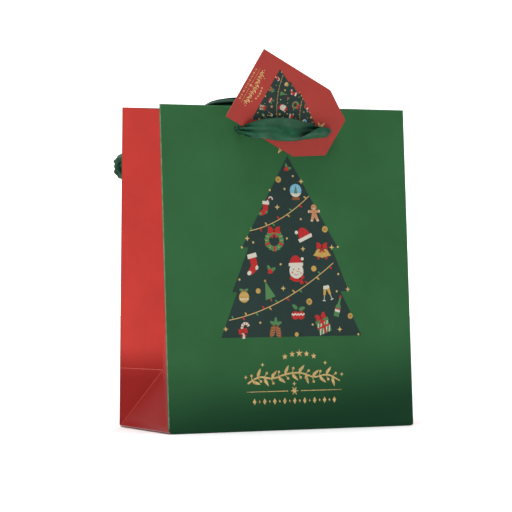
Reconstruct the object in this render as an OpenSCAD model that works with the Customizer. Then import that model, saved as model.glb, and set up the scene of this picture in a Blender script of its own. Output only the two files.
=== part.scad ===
// Paper gift bag that stands open on its base. Millimetres, +Z up, +Y from the front panel to the back panel.
// The origin is the centre of the base, on the surface that the bag stands on.

/* [Body] */
// Width of the front and back panels
bag_width = 196; // [180:1:210]
// Depth of the base
bag_depth = 85; // [76:1:92]
// Height of the panels, measured along the paper
bag_height = 230; // [215:1:245]
// How far the top edge of the front panel leans back
front_lean = 15.2; // [12:0.2:18]
// How far the top edge of the back panel leans forward
back_lean = 5.2; // [3:0.2:8]
// Thickness of the laminated paper
paper = 0.35; // [0.25:0.05:0.45]

/* [Top edge] */
// Depth of the paper turned in along the mouth
turn_in = 34; // [28:1:40]
// Thickness of the card strip inside the turned-in edge
card = 0.6; // [0.4:0.1:0.8]
// Height of the card strip
card_height = 28; // [24:1:30]

/* [Ribbon holes] */
// Half the distance between the two holes of a panel
hole_x = 37; // [32:1:42]
// Distance from the top edge to the hole centres
hole_drop = 16.5; // [14:0.5:20]
// Radius of a ribbon hole
hole_r = 3.6; // [3.4:0.1:4]

/* [Base] */
// How far the front and back flaps reach past the middle of the base
flap_lap = 9; // [6:1:14]
// Thickness of the loose board on the base
board = 1.5; // [1:0.1:2]

/* [Tag] */
// Length of the tag, from its square end to its clipped end
tag_length = 85.5; // [75:0.5:90]
// Width of the tag
tag_width = 54.4; // [48:0.2:58]
// Thickness of the tag card
tag_card = 0.5; // [0.4:0.1:0.6]
// Distance from the clipped end to the hole centre
tag_hole_inset = 9; // [8:0.5:11]
// Radius of the tag hole
tag_hole_r = 3.4; // [3.2:0.1:3.8]

/* [Hidden] */

green = "#1f5c38";
red = "#c03028";
white_board = "#d8d4cc";
ribbon_green = "#0f5038";

round_fn = 48;
gap = 0.15;                                   // between sheets that meet at a crease
slant = 0.45;                                 // a gusset's wall, measured along X
half_w = bag_width / 2;
half_d = bag_depth / 2;
front_angle = asin(front_lean / bag_height);
back_angle = asin(back_lean / bag_height);
hole_up = bag_height - hole_drop;             // along the panel, from the base
stack = 2 * paper + card;                     // paper, card strip and turned-in paper
card_top = bag_height - paper;
edge_inset = 2;                               // the turned-in paper ends this far short of a corner
pass_r = 2.4;                                 // the ribbon, gathered to pass through a hole

// ---- Paper body ----

// Local X and Y run across and up the front panel; local +Z points out of its printed face.
module on_front() {
    translate([0, -half_d, 0]) rotate([90 - front_angle, 0, 0]) children();
}

// The same for the back panel, but local +Z points into the bag.
module on_back() {
    translate([0, half_d, 0]) rotate([90 + back_angle, 0, 0]) children();
}

module hole_pair(radius) {
    for (side = [-1, 1])
        translate([side * hole_x, hole_up, -5]) cylinder(h = 10, r = radius, $fn = round_fn);
}

// A flat sheet with the two ribbon holes, from local z = low to high.
module pierced_sheet(width, bottom, top, low, high) {
    difference() {
        translate([-width / 2, bottom, low]) cube([width, top - bottom, high - low]);
        hole_pair(hole_r);
    }
}

module front_panel() {
    color(green) on_front() pierced_sheet(bag_width, 0.1, bag_height, -paper, 0);
}

module back_panel() {
    color(green) on_back() pierced_sheet(bag_width, 0.1, bag_height, 0, paper);
}

// The card strip lies against the panel's inner face.
module front_card_strip() {
    color(white_board) on_front()
        pierced_sheet(bag_width - 6, card_top - card_height, card_top, -paper - card, -paper);
}

module back_card_strip() {
    color(white_board) on_back()
        pierced_sheet(bag_width - 6, card_top - card_height, card_top, paper, paper + card);
}

// The panel's paper folded over the top edge and glued down inside, over the card strip.
module front_turn_in() {
    color(green) on_front() {
        pierced_sheet(bag_width - 2 * edge_inset, bag_height - turn_in, bag_height, -stack, -paper - card);
        translate([edge_inset - half_w, card_top, -paper - card])
            cube([bag_width - 2 * edge_inset, paper, card]);
    }
}

module back_turn_in() {
    color(green) on_back() {
        pierced_sheet(bag_width - 2 * edge_inset, bag_height - turn_in, bag_height, paper + card, stack);
        translate([edge_inset - half_w, card_top, paper])
            cube([bag_width - 2 * edge_inset, paper, card]);
    }
}

// The lengthwise glue joint: a flap of the right gusset stuck to the inside of the back panel.
module seam_flap() {
    color(red) on_back()
        translate([half_w - 16, 2, paper]) cube([15, bag_height - turn_in - 3, paper]);
}

// ---- Gussets ----

// A point part of the way from a to b.
function between(a, b, share) = a + (b - a) * share;

// The corners of the left gusset's outer face, pushed in along its centre crease.
function front_edge(up) = [-half_w, -half_d + up * sin(front_angle) + paper + gap, up * cos(front_angle)];
function back_edge(up) = [-half_w, half_d - up * sin(back_angle) - paper - gap, up * cos(back_angle)];
function crease_push(up) =
    let (half = (back_edge(up).y - front_edge(up).y) / 2) sqrt(half_d * half_d - half * half);
function centre_crease(up) =
    let (a = front_edge(up), b = back_edge(up))
    [crease_push(up) - half_w, (a.y + b.y) / 2, (a.z + b.z) / 2];

knee = centre_crease(half_d) - [0, 0, 1.8];               // where the two diagonal creases meet
mouth = centre_crease(bag_height) - [0, 0, 2.4];          // the centre crease dips at the mouth

// A wall between two layers of points, each layer listed in the same order and cut into the same triangles.
module folded_sheet(outer, triangles, rim, shift) {
    n = len(outer);
    inner = [for (p = outer) p + [shift, 0, 0]];
    polyhedron(
        points = concat(outer, inner),
        faces = concat(
            triangles,
            [for (t = triangles) [t[2] + n, t[1] + n, t[0] + n]],
            [for (i = [0:len(rim) - 1]) let (a = rim[i], b = rim[(i + 1) % len(rim)]) [b, a, a + n, b + n]]
        )
    );
}

module left_gusset_sheet() {
    floor_up = 1.2;
    outer = [
        front_edge(floor_up), back_edge(floor_up), back_edge(half_d), back_edge(bag_height),
        mouth, front_edge(bag_height), knee
    ];
    folded_sheet(
        outer,
        [[0, 1, 6], [1, 2, 6], [2, 3, 6], [3, 4, 6], [4, 5, 6], [5, 0, 6]],
        [0, 1, 2, 3, 4, 5], slant
    );
}

// The gusset's own turned-in paper lies on its inner face, between the ridges that run down to the knee.
module left_turn_in_sheet() {
    drop = turn_in / (bag_height - half_d);
    inward = [slant, 0, 0];
    mouth_low = between(mouth, knee, drop);
    front_top = front_edge(bag_height);
    back_top = back_edge(bag_height);
    outer = [
        between(between(front_top, knee, drop), mouth_low, 0.06) + inward,
        mouth_low + inward,
        between(between(back_top, knee, drop), mouth_low, 0.06) + inward,
        between(back_top, mouth, 0.06) + inward,
        mouth + inward,
        between(front_top, mouth, 0.06) + inward
    ];
    folded_sheet(outer, [[0, 1, 4], [0, 4, 5], [1, 2, 3], [1, 3, 4]], [0, 1, 2, 3, 4, 5], slant);
}

module left_gusset() { color(red) left_gusset_sheet(); }
module right_gusset() { color(red) mirror([1, 0, 0]) left_gusset_sheet(); }
module left_turn_in() { color(red) left_turn_in_sheet(); }
module right_turn_in() { color(red) mirror([1, 0, 0]) left_turn_in_sheet(); }

// ---- Base ----

// A flap with 45 degree mitred ends, folded in from y = -half_d, in layer number `layer` above the surface.
module long_flap(layer) {
    fold = half_w - 0.5;
    reach = half_d + flap_lap;
    translate([0, 0, layer * paper]) linear_extrude(paper) polygon([
        [-fold, 0.5 - half_d], [fold, 0.5 - half_d],
        [fold - reach, reach - half_d], [reach - fold, reach - half_d]
    ]);
}

module end_flap() {
    fold = half_d - 1;
    reach = half_d + 6;
    translate([0, 0, 2 * paper]) linear_extrude(paper) polygon([
        [0.8 - half_w, -fold], [0.8 - half_w, fold],
        [reach - half_w, fold - reach / 2], [reach - half_w, reach / 2 - fold]
    ]);
}

module base_back_flap() { color(green) mirror([0, 1, 0]) long_flap(0); }
module base_front_flap() { color(green) long_flap(1); }
module base_left_flap() { color(red) end_flap(); }
module base_right_flap() { color(red) mirror([1, 0, 0]) end_flap(); }

module base_board() {
    color(white_board)
        translate([4 - half_w, 2 - half_d, 3 * paper]) cube([bag_width - 8, bag_depth - 4, board]);
}

// ---- Ribbons ----

// A ribbon is swept through stations [centre, face, width, thickness], where `face` looks out of its flat side.
RING = 8;

function unit(v) = v / norm(v);
function heading(stations, i) =
    let (a = stations[max(i - 1, 0)][0], b = stations[min(i + 1, len(stations) - 1)][0]) unit(b - a);
function ring(stations, i) =
    let (
        s = stations[i],
        along = heading(stations, i),
        across = unit(cross(along, s[1])),
        up = cross(along, across)
    )
    [for (k = [0:RING - 1])
        let (a = (k + 0.5) * 360 / RING)
        s[0] + (across * s[2] * cos(a) + up * s[3] * sin(a)) / 2];

module ribbon(stations) {
    last = len(stations) - 1;
    polyhedron(
        points = [for (i = [0:last]) each ring(stations, i)],
        faces = concat(
            [[for (k = [0:RING - 1]) k]],
            [[for (k = [RING - 1:-1:0]) last * RING + k]],
            [for (i = [0:last - 1], k = [0:RING - 1])
                let (a = i * RING + k, b = i * RING + (k + 1) % RING)
                each [[a, a + RING, b + RING], [a, b + RING, b]]]
        )
    );
}

FACE_Y = [0, 1, 0];
FACE_Z = [0, 0, 1];
FACE_OUT = [0, 1, 0.3];

// Local to the front panel, from the middle of the holes: out of the left hole, over the tag, through its hole.
run_route = [
    [[-37, 0, -1.7], FACE_Y, 4.8, 4.8],
    [[-37, 0, 0.8], FACE_Y, 4.8, 4.8],
    [[-37.4, -1.4, 3.2], FACE_Y, 4.6, 4.6],
    [[-37.4, -2.6, 5.6], FACE_Y, 4.6, 4.6],
    [[-36.4, -2.8, 8.2], [1, 0, 1], 7, 3.4],
    [[-31, -1.4, 10.8], FACE_Z, 10.5, 2.6],
    [[-22, -0.8, 12.4], FACE_Z, 14, 1.6],
    [[-10, -1, 13.2], FACE_Z, 17, 1.2],
    [[2, -1, 13.2], FACE_Z, 16, 1.2],
    [[12, -1, 12.6], FACE_Z, 13, 1.6],
    [[20, -1, 12], FACE_Z, 11, 2.2],
    [[26, -1.5, 11.4], FACE_Z, 8.5, 3],
    [[28.8, -2.2, 9.6], [1, 0, 0.5], 5.4, 4.4],
    [[29.2, -1.5, 6.9], FACE_Y, 4.8, 4.8],
    [[30.4, -0.8, 4.4], FACE_Y, 4.8, 4.8],
    [[34, -0.2, 2.9], FACE_Y, 4.6, 4.6],
    [[36.6, 0, 1.6], FACE_Y, 4.6, 4.6],
    [[37, 0, -1.7], FACE_Y, 4.8, 4.8]
];

// Half of the loop inside the front panel: from the bend behind the right hole down to the knot.
front_loop_route = [
    [[37, -23.6, 212.7], FACE_Y, 4.8, 4.8],
    [[37.6, -23.6, 208.5], FACE_Y, 6.5, 3.8],
    [[38.6, -23.6, 203], FACE_Y, 10, 2.2],
    [[38, -23.6, 196.5], FACE_Y, 14, 1.4],
    [[33, -23.6, 190], FACE_Y, 16, 1.2],
    [[24, -23.6, 185.5], FACE_Y, 14, 1.4],
    [[14, -23.6, 182], FACE_Y, 9, 2.6],
    [[5, -23.6, 180.5], FACE_Y, 5, 4]
];
front_knot_at = [0, -23.6, 180];
front_tail_route = [
    [[3, -23.6, 176], FACE_Y, 4, 3],
    [[8, -23.6, 172.5], FACE_Y, 6.5, 1.6],
    [[14.5, -23.6, 171.5], FACE_Y, 8, 1.2]
];

// Half of the arch that stands up inside the back panel, from the bend beside the right hole.
arch_route = [
    [[37, 32.9, 213.3], FACE_Y, 4.8, 4.8],
    [[37.4, 32.8, 218], FACE_Y, 5.6, 3.8],
    [[37, 32.6, 224.5], FACE_Y, 6.4, 3.2],
    [[33.5, 32.4, 229.6], FACE_OUT, 7.2, 2.6],
    [[25, 32.4, 232.5], FACE_OUT, 8, 2.2],
    [[13, 32.4, 234.2], FACE_OUT, 8.4, 2],
    [[0, 32.4, 234.8], FACE_OUT, 8.4, 2]
];

// Outside the back panel: each leg runs from the bend beside its hole to the knot by the left edge.
far_leg_route = [
    [[37, 42.2, 213.5], FACE_Y, 4.8, 4.8],
    [[31.5, 43.8, 213.6], FACE_Y, 6.5, 3.8],
    [[21, 47.5, 213], FACE_Y, 11, 2.2],
    [[5, 51, 210.5], FACE_Y, 15, 1.2],
    [[-15, 53.5, 206.5], FACE_Y, 17, 1],
    [[-37, 55, 201.5], FACE_Y, 17, 1],
    [[-57, 55, 197], FACE_Y, 15, 1.2],
    [[-72, 53, 193], FACE_Y, 11, 2],
    [[-82, 51, 190], FACE_Y, 6, 3.6]
];
near_leg_route = [
    [[-37, 42.2, 213.5], FACE_Y, 4.8, 4.8],
    [[-42, 43.4, 211], FACE_Y, 6.5, 3.4],
    [[-51, 44.4, 205], FACE_Y, 9.5, 2],
    [[-61, 45, 198], FACE_Y, 12, 1.4],
    [[-71, 45.8, 192], FACE_Y, 9, 2],
    [[-82, 47.6, 187.5], FACE_Y, 5, 3]
];
back_knot_at = [-92, 49.5, 188];
back_tail_route = [
    [[-88, 50, 180], FACE_Y, 5, 3],
    [[-85, 50.5, 172], FACE_Y, 10, 1.6],
    [[-82, 51, 162], FACE_Y, 14, 1.2]
];

function flipped(stations) =
    [for (i = [len(stations) - 1:-1:0]) let (s = stations[i]) [[-s[0].x, s[0].y, s[0].z], s[1], s[2], s[3]]];
function without_first(stations) = [for (i = [1:len(stations) - 1]) stations[i]];

module pair() {
    children();
    mirror([1, 0, 0]) children();
}

// The knot that ties a ribbon's two ends, as a plain closed solid.
module knot(size) {
    rows = 6;
    columns = 12;
    points = concat(
        [[0, 0, size.z / 2]],
        [for (i = [1:rows - 1], j = [0:columns - 1])
            let (a = 180 * i / rows, b = 360 * j / columns)
            [size.x * sin(a) * cos(b), size.y * sin(a) * sin(b), size.z * cos(a)] / 2],
        [[0, 0, -size.z / 2]]
    );
    south = len(points) - 1;
    south_row = south - columns;
    polyhedron(
        points = points,
        faces = concat(
            [for (j = [0:columns - 1]) [0, 1 + (j + 1) % columns, 1 + j]],
            [for (i = [0:rows - 3], j = [0:columns - 1])
                let (a = 1 + i * columns + j, b = 1 + i * columns + (j + 1) % columns)
                each [[a, b, b + columns], [a, b + columns, a + columns]]],
            [for (j = [0:columns - 1]) [south, south_row + j, south_row + (j + 1) % columns]]
        )
    );
}

module front_ribbon_run() {
    color(ribbon_green) on_front() translate([0, hole_up, 0]) ribbon(run_route);
}

module front_ribbon_loop() { color(ribbon_green) pair() ribbon(front_loop_route); }

module front_ribbon_knot() {
    color(ribbon_green) {
        translate(front_knot_at) knot([13, 10, 11]);
        pair() ribbon(front_tail_route);
    }
}

// The two stretches of ribbon that fill the holes of the back panel.
module back_ribbon_passes() {
    color(ribbon_green) on_back() for (side = [-1, 1])
        translate([side * hole_x, hole_up, -1.2]) cylinder(h = stack + 1.6, r = pass_r, $fn = round_fn);
}

module back_ribbon_arch() { color(ribbon_green) ribbon(concat(arch_route, without_first(flipped(arch_route)))); }

module back_ribbon_loop() {
    color(ribbon_green) {
        ribbon(far_leg_route);
        ribbon(near_leg_route);
    }
}

module back_ribbon_knot() {
    color(ribbon_green) {
        translate(back_knot_at) knot([20, 12, 22]);
        ribbon(back_tail_route);
    }
}

// ---- Tag ----

// Its X axis points at the clipped end; the origin is the hole's centre.
module tag_outline() {
    clip_along = 22.5;
    clip_across = 12.7;
    end = tag_hole_inset;
    side = tag_width / 2;
    polygon([
        [end - tag_length, -side], [end - clip_along, -side], [end, clip_across - side],
        [end, side - clip_across], [end - clip_along, side], [end - tag_length, side]
    ]);
}

tag_tilt = [15.8, 6, -25.7];                  // it leans out from the panel and points down to the right

module gift_tag() {
    color(red) on_front() translate([hole_x - 7.8, hole_up - 1.5, 6.9]) rotate(tag_tilt)
        translate([0, 0, -tag_card / 2]) difference() {
            linear_extrude(tag_card) tag_outline();
            translate([0, 0, -1]) cylinder(h = tag_card + 2, r = tag_hole_r, $fn = round_fn);
        }
}

front_panel();
back_panel();
left_gusset();
right_gusset();
seam_flap();
front_turn_in();
back_turn_in();
left_turn_in();
right_turn_in();
front_card_strip();
back_card_strip();
base_back_flap();
base_front_flap();
base_left_flap();
base_right_flap();
base_board();
front_ribbon_run();
front_ribbon_loop();
front_ribbon_knot();
back_ribbon_passes();
back_ribbon_arch();
back_ribbon_loop();
back_ribbon_knot();
gift_tag();
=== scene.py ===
"""A paper gift bag with satin ribbon handles and a swing tag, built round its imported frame."""

import math

import bmesh
import bpy
import numpy as np
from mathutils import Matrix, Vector
from mathutils.geometry import delaunay_2d_cdt


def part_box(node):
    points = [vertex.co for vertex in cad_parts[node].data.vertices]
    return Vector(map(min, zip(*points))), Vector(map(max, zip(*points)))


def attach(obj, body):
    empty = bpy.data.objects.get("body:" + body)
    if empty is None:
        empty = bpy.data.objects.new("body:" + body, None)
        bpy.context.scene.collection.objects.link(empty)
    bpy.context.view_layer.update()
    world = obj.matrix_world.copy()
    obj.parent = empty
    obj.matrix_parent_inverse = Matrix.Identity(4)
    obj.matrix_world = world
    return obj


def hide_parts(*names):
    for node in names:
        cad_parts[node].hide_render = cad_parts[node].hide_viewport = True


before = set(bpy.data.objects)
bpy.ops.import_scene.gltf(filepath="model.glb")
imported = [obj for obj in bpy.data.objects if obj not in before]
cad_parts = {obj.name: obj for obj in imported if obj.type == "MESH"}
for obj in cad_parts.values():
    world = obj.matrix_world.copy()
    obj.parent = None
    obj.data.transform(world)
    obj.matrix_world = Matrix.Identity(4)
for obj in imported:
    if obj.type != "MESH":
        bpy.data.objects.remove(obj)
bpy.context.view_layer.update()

# ---- Camera ----
# A long lens a little to the left of the bag's front, almost level with the middle of its panels.
# The small shift puts the bag where the print's margin needs it.
aim = Vector((0, 0, 0.115))
camera_distance = 1.8737
camera_yaw = math.radians(27.2)
camera_pitch = math.radians(0.59)
away = Vector((
    -math.sin(camera_yaw) * math.cos(camera_pitch),
    -math.cos(camera_yaw) * math.cos(camera_pitch),
    math.sin(camera_pitch),
))
lens = bpy.data.cameras.new("camera")
lens.sensor_width = 36
lens.lens = 182.1
lens.shift_x = -0.0215
lens.shift_y = 0.0217
lens.clip_end = 20
camera = bpy.data.objects.new("camera", lens)
bpy.context.scene.collection.objects.link(camera)
camera.location = aim + away * camera_distance
camera.rotation_euler = (-away).to_track_quat("-Z", "Y").to_euler()
bpy.context.scene.camera = camera

# ---- Front ribbon, outside run ----
# A 19 mm satin ribbon, woven polyester. It comes out of the left hole of the front panel, spreads out over
# the tag, folds in half and drops through the tag's hole, then goes back into the bag by the right hole.
_, panel_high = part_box("front_panel")
bag_half_width = panel_high.x
bag_half_depth = 0.0425
panel_length = 0.230
front_lean = math.asin(0.0152 / panel_length)
back_lean = math.asin(0.0052 / panel_length)
hole_side = 0.037
hole_up = panel_length - 0.0165
ribbon_cut = 0.019


def on_front(across, up, out):
    """World place of points on the front panel: across to the right, up the paper, out of its printed face."""
    across, up, out = np.broadcast_arrays(across, up, out)
    return np.stack([
        across + 0.0,
        -bag_half_depth + up * math.sin(front_lean) - out * math.cos(front_lean),
        up * math.cos(front_lean) + out * math.sin(front_lean),
    ], axis=-1)


def on_back(across, up, out):
    """The same for the back panel, with `out` pointing away from the bag."""
    across, up, out = np.broadcast_arrays(across, up, out)
    return np.stack([
        across + 0.0,
        bag_half_depth - up * math.sin(back_lean) + out * math.cos(back_lean),
        up * math.cos(back_lean) + out * math.sin(back_lean),
    ], axis=-1)


def unit(vectors):
    return vectors / np.maximum(np.linalg.norm(vectors, axis=-1, keepdims=True), 1e-12)


def smooth_through(values, fine, closed=False):
    """A Catmull-Rom curve through the rows of values, with `fine` steps between two of them."""
    values = np.asarray(values, float)
    if closed:
        padded = np.concatenate([values[-1:], values, values[:2]])
    else:
        padded = np.concatenate([2 * values[:1] - values[1:2], values, 2 * values[-1:] - values[-2:-1]])
    t = (np.arange(fine) / fine)[:, None]
    pieces = []
    for a, b, c, d in zip(padded, padded[1:], padded[2:], padded[3:]):
        pieces.append(0.5 * (2 * b + (c - a) * t + (2 * a - 5 * b + 4 * c - d) * t**2
                             + (3 * b - a - 3 * c + d) * t**3))
    if not closed:
        pieces.append(values[-1:])
    return np.concatenate(pieces)


def new_piece(name, points, faces, materials, face_materials=None, smooth_angle=40):
    mesh = bpy.data.meshes.new(name)
    mesh.from_pydata([tuple(p) for p in points], [], [tuple(int(i) for i in f) for f in faces])
    for material in materials:
        mesh.materials.append(material)
    if face_materials is not None:
        mesh.polygons.foreach_set("material_index", np.asarray(face_materials, np.int32))
    mesh.polygons.foreach_set("use_smooth", np.ones(len(mesh.polygons), bool))
    mesh.set_sharp_from_angle(angle=math.radians(smooth_angle))
    mesh.update()
    piece = bpy.data.objects.new(name, mesh)
    bpy.context.scene.collection.objects.link(piece)
    return piece


def ribbon_surface(stations, pleats, phase, cup=0.0, painted_shade=0.0, fine=14, around=45, closed=False):
    """A gathered ribbon's middle surface as points [along, across], its centreline, and its folds' shade.

    Each station is (centre, face, width, fold): face looks out of its flat side, and fold is the share of the
    ribbon's cut width that is turned up over its front. Width that is spare goes into pleats where the ribbon
    is gathered tightly, and into one trough, by the share `cup`, where it lies open. `painted_shade` is painted
    shade that darkens it all, and the returned shade is painted shade too.
    """
    centres = smooth_through([s[0] for s in stations], fine, closed)
    faces = unit(smooth_through([s[1] for s in stations], fine, closed))
    widths = smooth_through([[s[2], s[3]] for s in stations], fine, closed)
    if closed:
        along = unit(np.roll(centres, -1, 0) - np.roll(centres, 1, 0))
    else:
        along = unit(np.gradient(centres, axis=0))
    across = unit(np.cross(along, faces))
    out = np.cross(across, along)
    share = np.linspace(0, 1, around)
    travelled = np.concatenate([[0], np.cumsum(np.linalg.norm(np.diff(centres, axis=0), axis=1))])
    if closed:
        travelled = travelled * 0
    grid = np.zeros((len(centres), around, 3))
    shadow = np.zeros((len(centres), around))
    for i, (width, fold) in enumerate(np.maximum(widths, [0.003, 0])):
        flat = ribbon_cut * (1 - fold)
        open_share = np.clip((width - 0.0065) / 0.0075, 0, 1) ** 1.5
        spare = math.sqrt(max(flat**2 - width**2, 0.0))
        sag = width * math.sqrt(0.375 * max(flat / width - 1, 0.0)) if width > 0.008 else 0.0
        height = 0.85 * spare / (4 * pleats) * (1 - cup * open_share)
        height *= 1 - 0.55 * open_share
        wander = phase + 0.30 * math.sin(travelled[i] / 0.011 + phase) + 0.10 * math.sin(travelled[i] / 0.0043)
        run = share * ribbon_cut
        over = np.clip(run - flat, 0, None)
        place = np.clip(run / flat, 0, 1)
        wave = np.sin(2 * math.pi * (pleats * place + wander))
        small = 0.00012 * np.sin(travelled[i] / 0.0031 + 7 * place) * (1 - 0.5 * open_share)
        trough = cup * open_share * sag * ((2 * place - 1)**2 - 0.30)
        lateral = place * width - width / 2 + 0.25 * height * np.sin(4 * math.pi * pleats * place + wander)
        lateral = lateral - over
        lifted = 0.0036 * np.sin(np.clip(over / 0.0042, 0, 1) * math.pi / 2) * (over > 0)
        depth = height * wave * (1 - 0.7 * (over > 0)) + small + trough + lifted
        grid[i] = centres[i] + across[i] * lateral[:, None] + out[i] * depth[:, None]
        # Painted shade, kept as fold_shadow: a share all over, a shadow on the back layer behind the turned-up
        # fold's free edge, and darker pleat valleys.
        near_fold = np.exp(-np.abs(lateral - lateral[-1]) / 0.006)
        behind = np.where(over > 0, 0, near_fold) * np.clip(fold / 0.16, 0, 1)
        shadow[i] = np.clip(painted_shade + behind + 0.3 * np.clip(-wave, 0, 1) * min(1, height / 0.0008), 0, 1)
    return grid, centres, shadow


def shell(grid, thickness, closed=False):
    """A thin closed shell round a grid of points, as points and faces, the front half first."""
    rows, columns = grid.shape[:2]
    if closed:
        step_along = np.roll(grid, -1, 0) - np.roll(grid, 1, 0)
    else:
        step_along = np.gradient(grid, axis=0)
    normal = unit(np.cross(step_along, np.gradient(grid, axis=1)))
    points = np.concatenate([(grid + side * thickness / 2 * normal).reshape(-1, 3) for side in (1, -1)])
    half = rows * columns
    faces = []
    for i in range(rows if closed else rows - 1):
        k = (i + 1) % rows
        for j in range(columns - 1):
            a, b, c, d = i * columns + j, k * columns + j, k * columns + j + 1, i * columns + j + 1
            faces += [(a, b, c, d), (a + half, d + half, c + half, b + half)]
        for j, turn in ((0, 1), (columns - 1, -1)):
            a, b = i * columns + j, k * columns + j
            faces.append((a, a + half, b + half, b)[::turn])
    if not closed:
        for i, turn in ((0, -1), (rows - 1, 1)):
            for j in range(columns - 1):
                a, b = i * columns + j, i * columns + j + 1
                faces.append((a, a + half, b + half, b)[::turn])
    return points, faces


def make_ribbon(name, stations, pleats=3, phase=0.0, cup=0.0, painted_shade=0.0, closed=False, thickness=0.0003):
    grid, centres, shadow = ribbon_surface(stations, pleats, phase, cup, painted_shade, closed=closed)
    points, faces = shell(grid, thickness, closed)
    piece = new_piece(name, points, faces, [satin], smooth_angle=70)
    rows, columns = grid.shape[:2]
    steps = np.linalg.norm(np.diff(centres, axis=0), axis=1)
    length = np.concatenate([[0], np.cumsum(steps)])
    uv = piece.data.uv_layers.new(name="weave")
    corner = np.array([loop.vertex_index for loop in piece.data.loops]) % (rows * columns)
    u = (corner % columns) / (columns - 1) * ribbon_cut
    v = length[corner // columns]
    uv.data.foreach_set("uv", np.stack([u, v], 1).ravel())
    shade = piece.data.attributes.new("fold_shadow", "FLOAT", "POINT")
    shade.data.foreach_set("value", np.tile(shadow.ravel(), 2))
    return piece, centres


def node_tree(name):
    material = bpy.data.materials.new(name)
    material.use_nodes = True
    nodes = material.node_tree.nodes
    return material, nodes, material.node_tree.links, nodes["Principled BSDF"]


def add_node(nodes, kind, **settings):
    node = nodes.new(kind)
    for key, value in settings.items():
        if key in node.inputs:
            node.inputs[key].default_value = value
        else:
            setattr(node, key, value)
    return node


def mix_colour(nodes, links, low, high, factor):
    """A colour between low and high, each a colour or a socket, by the factor socket."""
    mix = nodes.new("ShaderNodeMix")
    mix.data_type = "RGBA"
    for socket, value in ((mix.inputs[6], low), (mix.inputs[7], high)):
        if isinstance(value, bpy.types.NodeSocket):
            links.new(value, socket)
        else:
            socket.default_value = (*value, 1)
    links.new(factor, mix.inputs[0])
    return mix.outputs[2]


def stretch(nodes, links, source, low, high, to_low=0.0, to_high=1.0):
    spread = add_node(nodes, "ShaderNodeMapRange")
    spread.inputs["From Min"].default_value = low
    spread.inputs["From Max"].default_value = high
    spread.inputs["To Min"].default_value = to_low
    spread.inputs["To Max"].default_value = to_high
    links.new(source, spread.inputs["Value"])
    return spread.outputs["Result"]


def noise(nodes, links, vector, scale, detail, roughness=0.5):
    made = add_node(nodes, "ShaderNodeTexNoise", Scale=scale, Detail=detail, Roughness=roughness)
    links.new(vector, made.inputs["Vector"])
    return made.outputs["Fac"]


def bumped(nodes, links, height, strength, distance, surface, under=None):
    """Raise the surface by the height socket, over an earlier bump's normal if there is one."""
    made = add_node(nodes, "ShaderNodeBump", Strength=strength, Distance=distance)
    links.new(height, made.inputs["Height"])
    if under:
        links.new(under, made.inputs["Normal"])
    links.new(made.outputs["Normal"], surface.inputs["Normal"])
    return made.outputs["Normal"]


def satin_finish():
    """Dark green satin: fine cross ribs, long faint streaks painted lighter as a sheen highlight and made
    rougher, a soft sheen, tight selvedges and painted shade in the folds.
    """
    material, nodes, links, surface = node_tree("dark_green_satin")
    uv = add_node(nodes, "ShaderNodeUVMap", uv_map="weave").outputs["UV"]
    split = nodes.new("ShaderNodeSeparateXYZ")
    links.new(uv, split.inputs[0])
    ribs = add_node(nodes, "ShaderNodeTexWave", bands_direction="Y", Scale=330, Distortion=1.2, Detail=1)
    links.new(uv, ribs.inputs["Vector"])
    along = add_node(nodes, "ShaderNodeMapping", Scale=(1, 0.12, 1))
    links.new(uv, along.inputs["Vector"])
    streaks = noise(nodes, links, along.outputs["Vector"], 2600, 3)
    clouds = noise(nodes, links, nodes.new("ShaderNodeTexCoord").outputs["Object"], 140, 4)
    base = mix_colour(nodes, links, (0.0068, 0.062, 0.027), (0.014, 0.115, 0.052),
                      stretch(nodes, links, clouds, 0.3, 0.7))
    # Painted highlight: the long streaks lighten the colour towards the ribbon's sheen highlight.
    painted_sheen_streaks = mix_colour(nodes, links, base, (0.028, 0.19, 0.095),
                          stretch(nodes, links, streaks, 0.52, 0.80, 0, 0.6))
    edge = add_node(nodes, "ShaderNodeMath", operation="ABSOLUTE")
    centred = add_node(nodes, "ShaderNodeMath", operation="SUBTRACT")
    centred.inputs[1].default_value = ribbon_cut / 2
    links.new(split.outputs["X"], centred.inputs[0])
    links.new(centred.outputs[0], edge.inputs[0])
    selvedge = stretch(nodes, links, edge.outputs[0], ribbon_cut / 2 - 0.0009, ribbon_cut / 2 - 0.0005)
    edged = mix_colour(nodes, links, painted_sheen_streaks, (0.008, 0.070, 0.034), selvedge)
    # Painted shade: the fold_shadow attribute darkens the base colour almost to black.
    shade = add_node(nodes, "ShaderNodeAttribute", attribute_name="fold_shadow")
    links.new(mix_colour(nodes, links, edged, (0.0015, 0.018, 0.010),
                         stretch(nodes, links, shade.outputs["Fac"], 0, 1, 0, 0.95)),
              surface.inputs["Base Color"])
    links.new(stretch(nodes, links, streaks, 0.3, 0.7, 0.34, 0.5), surface.inputs["Roughness"])
    weave = bumped(nodes, links, ribs.outputs["Fac"], 0.35, 0.0002, surface)
    bumped(nodes, links, clouds, 0.2, 0.0004, surface, under=weave)
    surface.inputs["Sheen Weight"].default_value = 0.07
    surface.inputs["Sheen Roughness"].default_value = 0.35
    surface.inputs["Sheen Tint"].default_value = (0.3, 0.8, 0.5, 1)
    surface.inputs["Specular IOR Level"].default_value = 0.3
    surface.inputs["Anisotropic"].default_value = 0.5
    return material


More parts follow.
